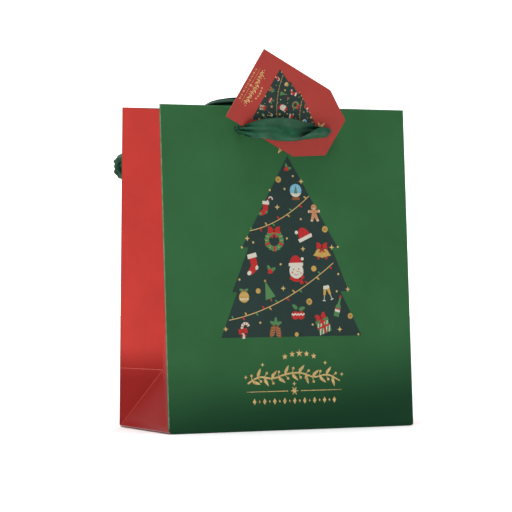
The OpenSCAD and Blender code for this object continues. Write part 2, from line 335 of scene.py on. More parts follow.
satin = satin_finish()
FACE_Y = (0, 1, 0)
FACE_Z = (0, 0, 1)
run_stations = [
    ((-0.0370, 0, -0.0017), (-1, 0, 0), 0.0044, 0),
    ((-0.0371, 0, 0.0008), (-1, 0, 0), 0.0042, 0),
    ((-0.0374, -0.0005, 0.0032), (-1, 0, 0), 0.0042, 0),
    ((-0.0372, -0.0010, 0.0056), (-1, 0, 0.3), 0.0052, 0),
    ((-0.0356, -0.0015, 0.0082), (-1, 0, 1), 0.0080, 0),
    ((-0.0310, -0.0016, 0.0108), (-0.3, 0, 1), 0.0112, 0),
    ((-0.0220, -0.0011, 0.0124), FACE_Z, 0.0144, 0),
    ((-0.0100, -0.0013, 0.0132), FACE_Z, 0.0166, 0),
    ((0.0000, -0.0016, 0.0132), FACE_Z, 0.0156, 0.02),
    ((0.0090, -0.0019, 0.0128), FACE_Z, 0.0122, 0.20),
    ((0.0170, -0.0023, 0.0122), FACE_Z, 0.0094, 0.36),
    ((0.0225, -0.0027, 0.0118), (0.1, 0, 1), 0.0076, 0.40),
    ((0.0258, -0.0028, 0.0112), (0.3, 0, 1), 0.0068, 0.355),
    ((0.0278, -0.0028, 0.0101), (0.7, 0, 0.7), 0.0058, 0.30),
    ((0.0289, -0.0026, 0.0086), (1, 0, 0.3), 0.0048, 0.24),
    ((0.0292, -0.0019, 0.0069), (1, 0.1, 0), 0.0044, 0.15),
    ((0.0304, -0.0008, 0.0044), FACE_Y, 0.0044, 0.1),
    ((0.0340, -0.0002, 0.0029), FACE_Y, 0.0044, 0),
    ((0.0366, 0, 0.0016), FACE_Y, 0.0054, 0),
    ((0.0370, 0, -0.0017), FACE_Y, 0.0056, 0),
]


def face_on_front(face):
    return tuple(on_front(face[0], face[1], face[2]) - on_front(0, 0, 0))


run_in_bag = [
    (tuple(on_front(c[0], hole_up + c[1], c[2])), face_on_front(face), width, fold)
    for c, face, width, fold in run_stations
]


def rope_length(points):
    return float(np.linalg.norm(np.diff(points, axis=0), axis=1).sum())


front_run, run_line = make_ribbon("front_ribbon_outside_run", run_in_bag, pleats=2.5, phase=0.1, cup=0.6)
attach(front_run, "bag")
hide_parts("front_ribbon_run")
tuple(run_line[0])
rope_length(run_line)

# ---- Front ribbon, inside ----
# The rest of the same ribbon hangs inside the front panel: two legs that meet in an overhand knot, with the
# ribbon's two cut ends below it. It swings as one on the two holes.
front_leg = [
    ((0.0370, -0.0236, 0.2127), FACE_Y, 0.0044, 0),
    ((0.0376, -0.0236, 0.2085), FACE_Y, 0.0065, 0),
    ((0.0386, -0.0236, 0.2030), FACE_Y, 0.0100, 0),
    ((0.0380, -0.0236, 0.1965), FACE_Y, 0.0140, 0),
    ((0.0330, -0.0236, 0.1900), FACE_Y, 0.0160, 0),
    ((0.0240, -0.0236, 0.1855), FACE_Y, 0.0140, 0),
    ((0.0140, -0.0236, 0.1820), FACE_Y, 0.0090, 0),
    ((0.0050, -0.0236, 0.1805), FACE_Y, 0.0050, 0),
]


def flipped(stations):
    """Seen from behind the mirror, with the same face outwards."""
    return [((-c[0], c[1], c[2]), face, width, fold) for c, face, width, fold in reversed(stations)]


front_loop, loop_line = make_ribbon("front_ribbon_inside_loop", front_leg + flipped(front_leg),
                                    pleats=3, phase=0.9)
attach(front_loop, "front_loop")
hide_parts("front_ribbon_loop")


def knot_stations(centre, size, width):
    """A trefoil of the gathered ribbon, which is how an overhand knot lies when it's pulled tight."""
    turns = np.linspace(0, 2 * math.pi, 24, endpoint=False)
    lobes = np.stack([
        np.sin(turns) + 2 * np.sin(2 * turns), -1.15 * np.sin(3 * turns), np.cos(turns) - 2 * np.cos(2 * turns),
    ], axis=1) / 3.1
    places = np.asarray(centre) + lobes * (np.asarray(size) / 2 - width / 2)
    outwards = unit(lobes + [0, 1e-4, 0])
    return [(tuple(p), tuple(o), width, 0) for p, o in zip(places, outwards)]


def knot_core(name, centre, size):
    """A crumpled bunch of ribbon: the middle of a knot, where it crosses itself, or where it fills a hole."""
    ball = bmesh.new()
    bmesh.ops.create_uvsphere(ball, u_segments=56, v_segments=36, radius=0.5)
    uv = ball.loops.layers.uv.new("weave")
    ball.verts.index_update()
    folds = [0.0] * len(ball.verts)
    for vertex in ball.verts:
        x, y, z = vertex.co * 2
        turn = math.atan2(y, x)
        crease = 0.13 * math.sin(6 * turn + 5 * z)
        crease += 0.10 * math.sin(11 * z + 3 * x) * math.cos(4 * turn + 2 * z)
        crease *= 1 - z**4
        # Painted shade, kept as fold_shadow: 0.4 all over and more in the creases' hollows.
        folds[vertex.index] = 0.4 + max(0.0, -crease * 4.5)
        puff = 0.5 + crease / 2
        vertex.co = Vector((puff * x * size[0], puff * y * size[1], z / 2 * size[2]))
        vertex.co += Vector(centre)
    for face in ball.faces:
        for loop in face.loops:
            spot = loop.vert.co - Vector(centre)
            loop[uv].uv = (ribbon_cut * (0.5 + 0.45 * spot.x / size[0] + 0.3 * spot.y / size[1]), spot.z * 1.4)
        face.smooth = True
    mesh = bpy.data.meshes.new(name)
    ball.to_mesh(mesh)
    ball.free()
    mesh.attributes.new("fold_shadow", "FLOAT", "POINT").data.foreach_set("value", folds)
    mesh.materials.append(satin)
    core = bpy.data.objects.new(name, mesh)
    bpy.context.scene.collection.objects.link(core)
    return core


def tail_stations(points, widths, face):
    return [(p, face, w, 0) for p, w in zip(points, widths)]


front_knot, _ = make_ribbon("front_ribbon_knot_tied",
                            knot_stations((0, -0.0236, 0.180), (0.013, 0.0115, 0.012), 0.0052),
                            pleats=2, closed=True)
front_core = knot_core("front_ribbon_knot_middle", (0, -0.0236, 0.180), (0.0095, 0.0085, 0.0095))
front_tails = []
for side in (-1, 1):
    tail, _ = make_ribbon(
        f"front_ribbon_end_{'left' if side < 0 else 'right'}",
        tail_stations([(side * 0.003, -0.0236, 0.1760), (side * 0.008, -0.0236, 0.1725),
                       (side * 0.0145, -0.0236, 0.1715)], [0.0045, 0.0072, 0.0086], FACE_Y),
        pleats=2.5, phase=0.4 * side)
    front_tails.append(tail)
for piece in [front_knot, front_core, *front_tails]:
    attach(piece, "front_loop")
for side in (-1, 1):
    piece = knot_core(f"front_ribbon_in_{'left' if side < 0 else 'right'}_hole",
                      on_front(side * hole_side, hole_up, -0.0012), (0.0076, 0.0046, 0.0078))
    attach(piece, "bag")
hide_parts("front_ribbon_knot")
tuple(loop_line[0])
rope_length(loop_line)

# ---- Back ribbon ----
# The back panel's ribbon is the same. It stands up in an arch inside the top edge, and the rest of it is
# thrown to the left outside the panel, where its two ends are knotted.
FACE_OUT = (0, 1, 0.3)
arch_half = [
    ((0.0370, 0.0329, 0.2133), FACE_Y, 0.0044, 0),
    ((0.0374, 0.0328, 0.2180), FACE_Y, 0.0056, 0),
    ((0.0370, 0.0326, 0.2245), (0.2, 1, 0.1), 0.0064, 0),
    ((0.0335, 0.0324, 0.2296), FACE_OUT, 0.0072, 0),
    ((0.0250, 0.0324, 0.2325), FACE_OUT, 0.0082, 0),
    ((0.0130, 0.0324, 0.2342), FACE_OUT, 0.0090, 0),
    ((0.0000, 0.0324, 0.2348), FACE_OUT, 0.0092, 0),
]
# The arch gets painted shade all over, at 0.45, as it stands inside the mouth of the bag.
arch, arch_line = make_ribbon("back_ribbon_arch_inside", arch_half + flipped(arch_half)[1:],
                              pleats=2.5, phase=0.1,
                              painted_shade=0.45)
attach(arch, "back_arch")
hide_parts("back_ribbon_arch")
tuple(arch_line[0])
rope_length(arch_line)

far_leg = [
    ((0.0370, 0.0422, 0.2135), FACE_Y, 0.0044, 0),
    ((0.0315, 0.0438, 0.2136), FACE_Y, 0.0065, 0),
    ((0.0210, 0.0475, 0.2130), FACE_Y, 0.0110, 0),
    ((0.0050, 0.0510, 0.2105), FACE_Y, 0.0150, 0),
    ((-0.0150, 0.0535, 0.2065), FACE_Y, 0.0170, 0.05),
    ((-0.0370, 0.0550, 0.2015), FACE_Y, 0.0160, 0.12),
    ((-0.0570, 0.0550, 0.1970), FACE_Y, 0.0140, 0.2),
    ((-0.0720, 0.0530, 0.1930), FACE_Y, 0.0100, 0.2),
    ((-0.0820, 0.0510, 0.1900), FACE_Y, 0.0060, 0.1),
]
near_leg = [
    ((-0.0370, 0.0422, 0.2135), FACE_Y, 0.0044, 0),
    ((-0.0420, 0.0434, 0.2110), FACE_Y, 0.0065, 0),
    ((-0.0510, 0.0444, 0.2050), FACE_Y, 0.0095, 0),
    ((-0.0610, 0.0450, 0.1980), FACE_Y, 0.0120, 0),
    ((-0.0710, 0.0458, 0.1920), FACE_Y, 0.0090, 0),
    ((-0.0820, 0.0476, 0.1875), FACE_Y, 0.0050, 0),
]
knot_place = (-0.0903, 0.0495, 0.188)
through_knot = [((-0.0905, 0.0495, 0.1885), FACE_Y, 0.0046, 0)]
back_loop, loop_back_line = make_ribbon("back_ribbon_thrown_loop", far_leg + through_knot + near_leg[::-1],
                                        pleats=3, phase=0.6)
# The knot gets painted shade all over, at 0.3.
back_knot, _ = make_ribbon("back_ribbon_knot_tied",
                           knot_stations(knot_place, (0.0220, 0.0150, 0.0265), 0.0088),
                           pleats=3.5, phase=0.4, painted_shade=0.3,
                           closed=True)
back_tail, _ = make_ribbon(
    "back_ribbon_end", tail_stations([(-0.088, 0.050, 0.180), (-0.085, 0.0505, 0.172), (-0.082, 0.051, 0.162)],
                                     [0.0052, 0.0110, 0.0145], FACE_Y), pleats=3, phase=0.5)
back_core = knot_core("back_ribbon_knot_middle", knot_place, (0.0160, 0.0100, 0.0195))
for piece in (back_loop, back_knot, back_core, back_tail):
    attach(piece, "back_loop")
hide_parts("back_ribbon_loop")
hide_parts("back_ribbon_knot")
tuple(loop_back_line[0])
rope_length(loop_back_line)

for side in (-1, 1):
    piece = knot_core(f"back_ribbon_in_{'left' if side < 0 else 'right'}_hole",
                      on_back(side * hole_side, hole_up, -0.0003), (0.0073, 0.0048, 0.0073))
    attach(piece, "bag")
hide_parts("back_ribbon_passes")

# ---- Paper of the walls ----
# The body is one sheet of 157 g coated paper, printed and film-laminated on one face, die-creased, folded and
# glued. Each wall is cut here as its own thin sheet, in its printed colours, with its creases rolled over.
paper_thickness = 0.00035
roll = 0.0006


def paper_finish(name, colour, worn, roughness=0.56, mottle=0.10, wear=0.0, painted_low_shade=None, fade=(0, 0.066)):
    """Printed paper under a matt film: faint clouding, fine fibre and tiny specks.

    `wear` breaks it up with the worn colour. `painted_low_shade` is painted shade low on the walls: a darker
    colour that is full at the bottom and gone between the two heights in `fade`.
    """
    material, nodes, links, surface = node_tree(name)
    place = nodes.new("ShaderNodeTexCoord").outputs["Object"]
    clouds = noise(nodes, links, place, 22, 5, 0.6)
    fibre = noise(nodes, links, place, 900, 4)
    specks = add_node(nodes, "ShaderNodeTexVoronoi", Scale=120)
    links.new(place, specks.inputs["Vector"])
    darker = tuple(c * (1 - mottle) for c in colour)
    lighter = tuple(min(1.0, c * (1 + mottle)) for c in colour)
    cloudy = mix_colour(nodes, links, darker, lighter, stretch(nodes, links, clouds, 0.3, 0.7))
    grained = mix_colour(nodes, links, cloudy, lighter, stretch(nodes, links, fibre, 0.5, 0.9, 0, 0.35))
    dusted = mix_colour(nodes, links, grained, worn,
                        stretch(nodes, links, specks.outputs["Distance"], 0.035, 0.02, 0, 0.16))
    if wear:
        rub = noise(nodes, links, place, 260, 4)
        dusted = mix_colour(nodes, links, dusted, worn,
                            stretch(nodes, links, rub, 0.42, 0.62, wear * 0.35, wear))
    # Painted shade: below the heights in fade the colour darkens towards the bottom of the wall, and a little
    # more to the right.
    if painted_low_shade:
        height = add_node(nodes, "ShaderNodeVectorMath", operation="DOT_PRODUCT")
        height.inputs[1].default_value = (-0.12, 0, 1)
        links.new(place, height.inputs[0])
        ease = add_node(nodes, "ShaderNodeMapRange", interpolation_type="SMOOTHSTEP")
        ease.inputs["From Min"].default_value = fade[0]
        ease.inputs["From Max"].default_value = fade[1]
        links.new(height.outputs["Value"], ease.inputs["Value"])
        dusted = mix_colour(nodes, links, painted_low_shade, dusted, ease.outputs["Result"])
    links.new(dusted, surface.inputs["Base Color"])
    links.new(stretch(nodes, links, clouds, 0.3, 0.7, roughness - 0.05, roughness + 0.05),
              surface.inputs["Roughness"])
    bumped(nodes, links, fibre, 0.12, 0.0001, surface)
    surface.inputs["Specular IOR Level"].default_value = 0.13
    return material


# Painted shade low on the walls: both laminated papers darken towards the bottom, the red one over its folded
# base.
green_paper = paper_finish("green_laminated_paper", (0.030, 0.125, 0.042), (0.26, 0.40, 0.26),
                           painted_low_shade=(0.004, 0.042, 0.015))
green_worn = paper_finish("green_paper_rubbed", (0.040, 0.150, 0.056), (0.30, 0.44, 0.30), wear=0.5)
red_paper = paper_finish("red_laminated_paper", (0.53, 0.040, 0.030), (0.76, 0.32, 0.27),
                         painted_low_shade=(0.27, 0.007, 0.005), fade=(0.044, 0.074))
red_worn = paper_finish("red_paper_rubbed", (0.50, 0.050, 0.040), (0.66, 0.22, 0.19), wear=0.4)
white_paper = paper_finish("uncoated_paper_back", (0.80, 0.78, 0.73), (0.62, 0.59, 0.52),
                           roughness=0.8, mottle=0.03)


def foil_finish():
    """Hot-stamped gold foil: bright, slightly broken over the paper's grain."""
    material, nodes, links, surface = node_tree("gold_foil")
    grain = noise(nodes, links, nodes.new("ShaderNodeTexCoord").outputs["Object"], 700, 4)
    links.new(mix_colour(nodes, links, (0.50, 0.31, 0.10), (0.82, 0.60, 0.27),
                         stretch(nodes, links, grain, 0.35, 0.65)), surface.inputs["Base Color"])
    links.new(stretch(nodes, links, grain, 0.3, 0.7, 0.34, 0.5), surface.inputs["Roughness"])
    surface.inputs["Metallic"].default_value = 0.55
    return material


inks = {
    "foil": foil_finish(),
    "fir": paper_finish("ink_fir_night_green", (0.022, 0.043, 0.037), (0.12, 0.16, 0.14), mottle=0.12),
    "red": paper_finish("ink_red", (0.50, 0.028, 0.026), (0.7, 0.3, 0.3), mottle=0.06),
    "dark_red": paper_finish("ink_dark_red", (0.26, 0.015, 0.016), (0.5, 0.2, 0.2), mottle=0.06),
    "white": paper_finish("ink_cream_white", (0.66, 0.62, 0.52), (0.8, 0.78, 0.7), mottle=0.03),
    "leaf": paper_finish("ink_leaf_green", (0.085, 0.23, 0.085), (0.3, 0.45, 0.3), mottle=0.08),
    "gold": paper_finish("ink_ochre", (0.52, 0.33, 0.085), (0.8, 0.65, 0.4), mottle=0.08),
    "pale_gold": paper_finish("ink_pale_ochre", (0.62, 0.43, 0.16), (0.85, 0.75, 0.5), mottle=0.06),
    "brown": paper_finish("ink_brown", (0.26, 0.095, 0.040), (0.45, 0.25, 0.18), mottle=0.10),
    "blue": paper_finish("ink_sky_blue", (0.20, 0.45, 0.62), (0.5, 0.7, 0.8), mottle=0.05),
    "biscuit": paper_finish("ink_biscuit", (0.52, 0.25, 0.12), (0.7, 0.5, 0.35), mottle=0.06),
    "rose": paper_finish("ink_rose", (0.62, 0.20, 0.16), (0.8, 0.5, 0.45), mottle=0.05),
    "green_worn": green_worn,
    "red_worn": red_worn,
}


def anticlockwise(loop):
    x, y = np.array(loop, float).T
    area = np.sum(x * np.roll(y, -1) - y * np.roll(x, -1))
    return [tuple(p) for p in (loop if area > 0 else loop[::-1])]


def cut_sheet(name, outline, place, printed, art=(), holes=(), spacing=0.006, thickness=paper_thickness,
              creases=(), underside=None, edge=None):
    """A thin sheet cut to outline, with printed artwork let into its outer face, carried into space by place().

    outline, art and holes are loops of points on the flat sheet, in metres. place(x, y, depth) gives the world
    places of points that lie `depth` below the outer face.
    """
    flat, loops = [], []
    for loop in [outline, *[shape for _, shape in art], *holes]:
        loops.append(list(range(len(flat), len(flat) + len(loop))))
        flat += anticlockwise(loop)
    edges = []
    for line in creases:
        start = len(flat)
        flat += [tuple(p) for p in line]
        edges += [(start + k, start + k + 1) for k in range(len(line) - 1)]
    low, high = np.min(outline, 0), np.max(outline, 0)
    counts = np.maximum(np.round((high - low) / spacing).astype(int), 1)
    for i in range(1, counts[0]):
        for j in range(1, counts[1]):
            flat.append((low[0] + (high[0] - low[0]) * i / counts[0] + 1e-5 * (j % 2),
                         low[1] + (high[1] - low[1]) * j / counts[1]))
    scale = 1000.0
    cut = delaunay_2d_cdt([Vector((x * scale, y * scale)) for x, y in flat], edges, loops, 1, 1e-3)
    spots = np.array([tuple(v) for v in cut[0]]) / scale
    first_hole = 1 + len(art)
    faces, owners = [], []
    for face, owner in zip(cut[2], cut[5]):
        if not owner or 0 not in owner or max(owner) >= first_hole:
            continue
        a, b, c = spots[face[0]], spots[face[1]], spots[face[2]]
        turn = (b[0] - a[0]) * (c[1] - a[1]) - (b[1] - a[1]) * (c[0] - a[0])
        if abs(turn) < 1e-13:
            continue
        faces.append(tuple(face) if turn > 0 else tuple(face)[::-1])
        owners.append(max(owner))
    used = sorted({k for face in faces for k in face})
    renumber = {k: i for i, k in enumerate(used)}
    spots = spots[used]
    faces = [tuple(renumber[k] for k in face) for face in faces]
    count = len(spots)
    outer, inner = place(spots[:, 0], spots[:, 1], 0.0), place(spots[:, 0], spots[:, 1], thickness)
    names = [printed, underside or white_paper, edge or white_paper]
    index = {}
    for ink, _ in art:
        if ink not in index:
            index[ink] = len(names)
            names.append(inks[ink])
    shades = [0 if owner == 0 else index[art[owner - 1][0]] for owner in owners]
    sides = {}
    for face in faces:
        for a, b in zip(face, face[1:] + face[:1]):
            sides[(a, b)] = True
    rim = [(b, a, a + count, b + count) for a, b in sides if (b, a) not in sides]
    backs = [tuple(k + count for k in face[::-1]) for face in faces]
    piece = new_piece(name, np.concatenate([outer, inner]), faces + backs + rim, names,
                      shades + [1] * len(backs) + [2] * len(rim), smooth_angle=35)
    return piece


def round_loop(x, y, radius, count=40):
    turns = np.linspace(0, 2 * math.pi, count, endpoint=False)
    return [(x + radius * math.cos(a), y + radius * math.sin(a)) for a in turns]


def rolled(distance):
    """How far a sheet has turned back at this distance from a crease."""
    near = np.clip(roll - distance, 0, roll)
    return roll - np.sqrt(np.maximum(roll**2 - near**2, 0))


def edge_lines(half_width, length):
    """Extra cuts close to the four edges, so that the rolled creases are round."""
    lines = []
    for inset in (0.00012, 0.0003, 0.0006, 0.0014):
        for side in (-1, 1):
            x = side * (half_width - inset)
            lines.append([(x, 0.0032), (x, length - inset)])
        lines.append([(-half_width + 0.0002, length - inset), (half_width - 0.0002, length - inset)])
    return lines


def panel_shape(width, length, low=0.0001, corner=0.0028):
    """A panel's outline, with its two lower corners rounded as the base fold leaves them."""
    turns = np.linspace(0, math.pi / 2, 7)
    right = [(width - corner * (1 - math.sin(a)), low + corner * (1 - math.cos(a))) for a in turns]
    left = [(-px, py) for px, py in reversed(right)]
    return left + right + [(width, length), (-width, length)]


# ---- Printed artwork ----
# Flat inks and stamped gold foil: a dark fir hung with small generic Christmas things and two strings of
# lights, over a stamped flourish. Each motif is drawn round its own middle, in millimetres, then placed.
def set_round(points, turn, x=0.0, y=0.0, size=1.0):
    """Points turned by `turn` degrees about the middle, scaled, and moved to (x, y)."""
    c, s = size * math.cos(math.radians(turn)), size * math.sin(math.radians(turn))
    return [(x + px * c - py * s, y + px * s + py * c) for px, py in points]


def disc(x, y, rx, ry=None, turn=0.0, count=18):
    ry = rx if ry is None else ry
    angles = [2 * math.pi * k / count for k in range(count)]
    return set_round([(rx * math.cos(a), ry * math.sin(a)) for a in angles], turn, x, y)


def oblong(left, low, right, high):
    return [(left, low), (right, low), (right, high), (left, high)]


def stroke(points, width, end_width=None):
    """The outline of a brush stroke along points, tapering from width to end_width."""
    points = np.asarray(points, float)
    end_width = width if end_width is None else end_width
    along = unit(np.gradient(points, axis=0))
    side = np.stack([-along[:, 1], along[:, 0]], 1)
    half = np.linspace(width, end_width, len(points))[:, None] / 2
    return [tuple(p) for p in np.concatenate([points + side * half, (points - side * half)[::-1]])]


def curved(points, fine=6):
    return smooth_through(points, fine)


def burst(x, y, outer, inner, arms, turn=90.0):
    loop = []
    for k in range(2 * arms):
        a = math.radians(turn + 180 * k / arms)
        r = outer if k % 2 == 0 else inner
        loop.append((x + r * math.cos(a), y + r * math.sin(a)))
    return loop


def leaf_shape(x, y, length, width, turn):
    """A holly leaf from its stalk at (x, y), with scalloped sides."""
    upper = [(0.18, 0.30), (0.30, 0.50), (0.42, 0.30), (0.56, 0.48), (0.68, 0.26), (0.82, 0.32)]
    loop = [(0, 0)] + [(a * length, b * width) for a, b in upper] + [(length, 0)]
    loop += [(a * length, -b * width) for a, b in reversed(upper)]
    return set_round(loop, turn, x, y)


def bow(x, y, size):
    wing = [(0, 0.12), (0.45, 0.62), (0.95, 0.62), (0.88, 0.1), (0.98, -0.35), (0.5, -0.3), (0, -0.12)]
    tail = [(0, 0), (0.62, -0.9), (0.38, -0.86), (0.22, -1.0)]
    shapes = [("red", loop) for half in (wing, tail) for loop in (half, [(-px, py) for px, py in half])]
    return placed(shapes + [("dark_red", disc(0, 0, 0.2))], x, y, 0, size)


def holly():
    return [("leaf", leaf_shape(0.3, 0.6, 4.0, 3.0, 100)), ("leaf", leaf_shape(0.8, 0.0, 4.2, 3.0, 8)),
            ("red", disc(-0.9, -0.7, 1.15)), ("red", disc(0.9, -0.9, 1.15)), ("red", disc(0, 0.6, 1.15))]


def gold_ball():
    shapes = [("gold", disc(0, 0, 2.3))]
    for turn in (0, 60, 120):
        shapes.append(("brown", stroke(set_round([(-1.6, 0), (0, 0), (1.6, 0)], turn), 0.32)))
    return shapes


def snow_globe():
    water = disc(0, 0, 4.7)
    drift = [(4.7 * math.cos(a), 4.7 * math.sin(a))
             for a in np.linspace(math.radians(205), math.radians(335), 12)]
    fir = [(-1.5, -2.2), (1.5, -2.2), (0.9, -0.8), (1.2, -0.8), (0.6, 0.8), (0.8, 0.8), (0, 3.4),
           (-0.8, 0.8), (-0.6, 0.8), (-1.2, -0.8), (-0.9, -0.8)]
    return [("brown", [(-3.3, -6.8), (3.3, -6.8), (2.6, -4.6), (-2.6, -4.6)]), ("blue", water),
            ("white", drift), ("leaf", fir), ("white", disc(-2.4, 1.6, 0.35)), ("white", disc(2.3, 0.6, 0.35)),
            ("white", disc(1.5, 2.7, 0.3))]


def stocking(cuff, body, toe):
    leg = curved([(-2.4, 5), (-2.2, 1.5), (-2.6, -0.6), (-5.2, -3.0), (-6.2, -4.6), (-5.0, -6.0), (-2.4, -5.9),
                  (0.4, -4.4), (2.2, -2.4), (2.6, 1.5), (2.6, 5)], 3)
    tip = disc(-4.9, -4.7, 1.7, 1.35, 25)
    heel = disc(1.5, -2.6, 1.5, 1.1, 60)
    return [(body, [tuple(p) for p in leg]), (toe, tip), (toe, heel),
            (cuff, [(-3.4, 4.4), (3.6, 4.4), (3.4, 7.4), (-3.2, 7.4)])]


def candy_cane(size=1.0):
    hook = [(0, -4.5), (0, 0)]
    hook += [(1.7 - 1.7 * math.cos(a), 1.9 * math.sin(a)) for a in np.linspace(0.2, 2.9, 9)]
    line = curved(np.array(hook) * size, 2)
    shapes = [("white", stroke(line, 1.25 * size))]
    for k in range(1, len(line) - 2, 4):
        shapes.append(("red", stroke(line[k:k + 2], 1.25 * size)))
    return shapes


def biscuit_figure():
    shapes = [("biscuit", disc(0, 4.0, 2.25))]
    shapes += [("biscuit", stroke([(-4.8, 1.3), (0, 1.0), (4.8, 1.3)], 2.0)),
               ("biscuit", stroke([(0.4, 1.4), (-1.0, -2.4), (-2.3, -6.0)], 3.0, 2.0)),
               ("biscuit", stroke([(-0.4, 1.4), (1.3, -2.4), (3.0, -6.0)], 3.0, 2.0))]
    for x in (-4.3, 4.3):
        shapes.append(("white", disc(x, 1.25, 0.45, 0.95)))
    shapes += [("white", disc(-2.2, -5.3, 0.95, 0.4, 15)), ("white", disc(2.8, -5.3, 0.95, 0.4, -20)),
               ("brown", disc(-0.8, 4.5, 0.3)), ("brown", disc(0.8, 4.5, 0.3)), ("red", disc(0, 0.9, 0.4)),
               ("red", disc(0.1, -0.7, 0.4)), ("white", stroke([(-0.9, 3.2), (0, 2.9), (0.9, 3.2)], 0.35))]
    return shapes


def wreath():
    shapes = [("leaf", burst(0, 0, 7.9, 7.2, 17)), ("fir", disc(0, 0, 4.1, count=24))]
    for turn in (205, 270, 335):
        shapes.append(("red", stroke(set_round([(4.0, 0), (7.8, 0)], turn), 1.5)))
    for turn in (0, 30, 150, 180, 235, 305):
        c, s = math.cos(math.radians(turn)), math.sin(math.radians(turn))
        shapes.append(("gold", stroke([(5.0 * c, 5.0 * s), (7.2 * c, 6.4 * s)], 0.5)))
    return shapes + bow(0, 6.6, 5.2)


def bobble_hat():
    dome = curved([(-4.6, -1.8), (-4.2, 1.8), (-2.2, 5.0), (0.4, 5.4), (3.2, 3.0), (4.9, -1.8)], 3)
    return [("red", [tuple(p) for p in dome]),
            ("white", [(-5.5, -3.8), (5.5, -3.8), (5.9, -1.2), (-5.9, -1.2)]), ("white", disc(-4.9, 4.0, 1.35))]


def bells():
    shapes = []
    for side, turn in ((-1, -12), (1, 12)):
        bell = [(-2.0, 1.4), (-2.7, -0.8), (-3.8, -2.6), (3.8, -2.6), (2.7, -0.8), (2.0, 1.4),
                (0.9, 2.4), (-0.9, 2.4)]
        shapes.append(("red", disc(side * 2.9, -3.4, 0.9)))
        shapes.append(("gold", set_round(bell, turn, side * 2.4)))
        shapes.append(("pale_gold", stroke([(side * 2.6 - 0.9, 1.4), (side * 2.8 - 1.1, -1.6)], 0.45)))
    return shapes + bow(0, 4.0, 4.2)


def snowman():
    """A plain snowman's head in a bobble hat and scarf."""
    hat = curved([(-5.4, 3.6), (-4.6, 7.4), (-1.6, 10.4), (1.8, 10.4), (4.9, 7.0), (5.9, 3.0)], 3)
    return [("red", [tuple(p) for p in hat]), ("white", disc(0, -1.6, 6.2, 6.6, count=28)),
            ("white", [(-6.4, 2.6), (6.4, 2.0), (6.6, 4.6), (-6.2, 5.2)]), ("white", disc(6.2, 7.6, 1.3)),
            ("red", stroke(curved([(-6.0, -6.2), (-2.0, -8.6), (2.4, -8.6), (6.0, -6.0)]), 2.6)),
            ("red", stroke([(2.4, -8.4), (4.4, -12.0)], 2.6, 2.8)), ("dark_red", disc(2.6, -8.0, 1.1)),
            ("brown", disc(-2.3, -0.2, 0.6)), ("brown", disc(2.3, -0.2, 0.6)),
            ("gold", [(-0.4, -1.3), (0.6, -2.5), (4.2, -2.6)]),
            ("brown", stroke(curved([(-2.4, -3.8), (-0.4, -4.8), (1.8, -4.2)]), 0.4)),
            ("rose", disc(-3.8, -2.4, 0.9)), ("rose", disc(3.9, -3.6, 0.7))]


def small_fir():
    return [("brown", oblong(-0.6, -7.6, 0.6, -5.4)),
            ("leaf", [(-4.1, -5.4), (4.1, -5.4), (0, 7.2)]), ("gold", burst(0, 7.6, 1.2, 0.5, 5))]


def bauble():
    shapes = [("leaf", leaf_shape(0, 4.2, 3.8, 2.6, 160)), ("leaf", leaf_shape(0, 4.2, 3.8, 2.6, 20)),
              ("red", disc(0, 4.3, 0.8)), ("gold", disc(0, 0, 4.0, count=24))]
    zigzag = [(-3.4 + 6.8 * k / 8, -2.1 + 1.1 * (k % 2)) for k in range(9)]
    shapes.append(("white", stroke(zigzag, 0.9)))
    for x in (-2.6, -1.3, 0, 1.3, 2.6):
        shapes.append(("pale_gold", burst(x, 1.4 + 0.1 * x, 0.8, 0.3, 4)))
    return shapes


def glasses():
    glass = [("gold", [(-1.3, 3.0), (1.3, 3.0), (0.9, -1.6), (0, -2.6), (-0.9, -1.6)]),
             ("white", [(-1.4, 2.6), (1.4, 2.6), (1.6, 4.6), (0.4, 5.4), (-1.5, 4.8)]),
             ("white", stroke([(0, -2.4), (0, -5.8)], 0.45)),
             ("white", [(-1.3, -6.3), (1.3, -6.3), (1.1, -5.6), (-1.1, -5.6)])]
    return placed(glass, -2.0, 0, -14) + placed(glass, 2.0, 0, 14)


def bottle():
    return [("leaf", [(-2.1, -7.4), (2.1, -7.4), (2.1, 0.2), (0.8, 2.6), (0.6, 7.2), (-0.6, 7.2), (-0.8, 2.6),
                      (-2.1, 0.2)]),
            ("white", oblong(-2.1, -4.0, 2.1, -1.2)), ("red", oblong(-2.1, -2.2, 2.1, -1.2)),
            ("red", oblong(-0.7, 6.4, 0.7, 8.4))]


def twin_baubles():
    shapes = [("leaf", leaf_shape(-0.5, 1.8, 5.2, 3.2, 140)), ("leaf", leaf_shape(0.6, 1.2, 5.4, 3.4, 20))]
    for x in (-2.3, 2.3):
        shapes += [("red", disc(x, -2.6, 3.0)),
                   ("white", stroke([(x - 2.8, -1.4), (x - 1.4, -2.5), (x, -1.5), (x + 1.4, -2.5),
                                     (x + 2.8, -1.4)], 1.1))]
    return shapes


def gift_box():
    shapes = [("leaf", oblong(-5, -6.4, 5, 3.4))]
    for k in range(-3, 4):
        x = 2.6 * k
        low = max(-5, min(5, x - 2.4))
        high = max(-5, min(5, x + 2.4))
        y_low = -6.4 + 9.8 * (low - (x - 2.4)) / 4.8
        y_high = -6.4 + 9.8 * (high - (x - 2.4)) / 4.8
        if high - low > 0.8:
            shapes.append(("white", stroke([(low, y_low), (high, y_high)], 0.8)))
    shapes += [("red", oblong(-0.9, -6.4, 0.9, 3.4)), ("red", oblong(-5, -2.2, 5, -0.8)),
               ("leaf", oblong(-5.5, 1.8, 5.5, 4.0)), ("red", oblong(-1.0, 1.8, 1.0, 4.0))]
    return shapes + bow(0, 5.6, 4.6)


